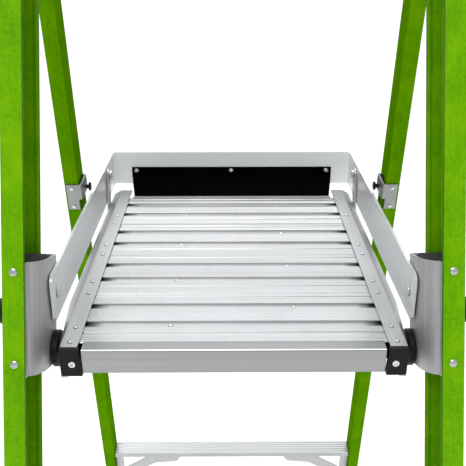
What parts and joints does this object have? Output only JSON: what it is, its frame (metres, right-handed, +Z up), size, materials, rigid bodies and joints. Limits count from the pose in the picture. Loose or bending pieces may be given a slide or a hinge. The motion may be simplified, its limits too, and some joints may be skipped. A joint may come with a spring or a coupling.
{
  "type": "platform step ladder",
  "caption": "Folding step ladder with green fibreglass rails, a ribbed aluminium platform inside a U-shaped guard bar, treads, a moulded top cap and rubber feet.",
  "frame": {"origin": "middle of the footprint on the floor, under the open ladder", "axes": "+X to the climber's right, +Y away from the climber towards the rear frame, +Z up"},
  "size_m": [0.617, 1.1714, 1.837],
  "materials": {
    "fibreglass": "pultruded glass fibre, satin, with faint lengthwise fibres",
    "aluminium": "mill-finish extrusion, fine lengthwise drawing lines",
    "steel": "satin grey stampings and hardware",
    "black_plastic": "fine-grained moulded plastic",
    "rubber": "matt rubber"
  },
  "bodies": {
    "front_frame": {"front_rail_left": "fibreglass", "front_rail_right": "fibreglass", "front_step_1": "aluminium", "front_step_2": "aluminium", "front_step_3": "aluminium", "step_brace_1_left": "steel", "step_brace_1_right": "steel", "step_brace_2_left": "steel", "step_brace_2_right": "steel", "step_brace_3_left": "steel", "step_brace_3_right": "steel", "front_foot_shoe_left": "steel", "front_foot_shoe_right": "steel", "front_foot_pad_left": "rubber", "front_foot_pad_right": "rubber", "platform_bracket_left": "steel", "platform_bracket_right": "steel", "guard_pivot_bolt_left": "steel", "guard_pivot_bolt_right": "steel", "top_cap": "black_plastic", "top_hinge_plate_left": "steel", "top_hinge_plate_right": "steel", "top_hinge_pin_left": "steel", "top_hinge_pin_right": "steel"},
    "rear_frame": {"rear_rail_left": "fibreglass", "rear_rail_right": "fibreglass", "rear_brace_upper": "aluminium", "rear_brace_lower": "aluminium", "rear_gusset_upper_left": "steel", "rear_gusset_upper_right": "steel", "rear_gusset_lower_left": "steel", "rear_gusset_lower_right": "steel", "rear_foot_shoe_left": "steel", "rear_foot_shoe_right": "steel", "rear_foot_pad_left": "rubber", "rear_foot_pad_right": "rubber", "rear_bracket_left": "steel", "rear_bracket_right": "steel", "guard_glide_left": "black_plastic", "guard_glide_right": "black_plastic"},
    "platform": {"platform_side_rail_left": "aluminium", "platform_side_rail_right": "aluminium", "deck_plank_1": "aluminium", "deck_plank_2": "aluminium", "deck_plank_3": "aluminium", "deck_plank_4": "aluminium", "front_beam": "aluminium", "rear_beam": "aluminium", "corner_cap_left": "black_plastic", "corner_cap_right": "black_plastic", "deck_stiffener_left": "aluminium", "deck_stiffener_right": "aluminium", "platform_hub_left": "black_plastic", "platform_hub_right": "black_plastic"},
    "guard": {"guard_bar": "aluminium", "rear_flap": "rubber", "link_bolt_left": "steel", "link_bolt_right": "steel"},
    "link_left": {"rear_link_left": "steel"},
    "link_right": {"rear_link_right": "steel"}
  },
  "joints": [
    {"name": "rear_fold", "type": "hinge", "parent": "front_frame", "child": "rear_frame", "pos_m": [0, 0.09108, 1.744], "axis": [-1, 0, 0], "range_deg": [0, 32]},
    {"name": "platform_fold", "type": "hinge", "parent": "front_frame", "child": "platform", "pos_m": [0, -0.11502, 1.179], "axis": [1, 0, 0], "range_deg": [0, 72]},
    {"name": "guard_fold", "type": "hinge", "parent": "front_frame", "child": "guard", "pos_m": [0, -0.09252, 1.252], "axis": [1, 0, 0], "range_deg": [0, 72]},
    {"name": "link_left_turn", "type": "hinge", "parent": "guard", "child": "link_left", "pos_m": [-0.228, 0.33598, 1.268], "axis": [1, 0, 0], "range_deg": [-72, 0]},
    {"name": "link_right_turn", "type": "hinge", "parent": "guard", "child": "link_right", "pos_m": [0.228, 0.33598, 1.268], "axis": [1, 0, 0], "range_deg": [-72, 0]}
  ],
  "couplings": [
    {"joint": "platform_fold", "follows": "rear_fold", "ratio": 2.25},
    {"joint": "guard_fold", "follows": "rear_fold", "ratio": 2.25},
    {"joint": "link_left_turn", "follows": "rear_fold", "ratio": -2.25},
    {"joint": "link_right_turn", "follows": "rear_fold", "ratio": -2.25}
  ]
}
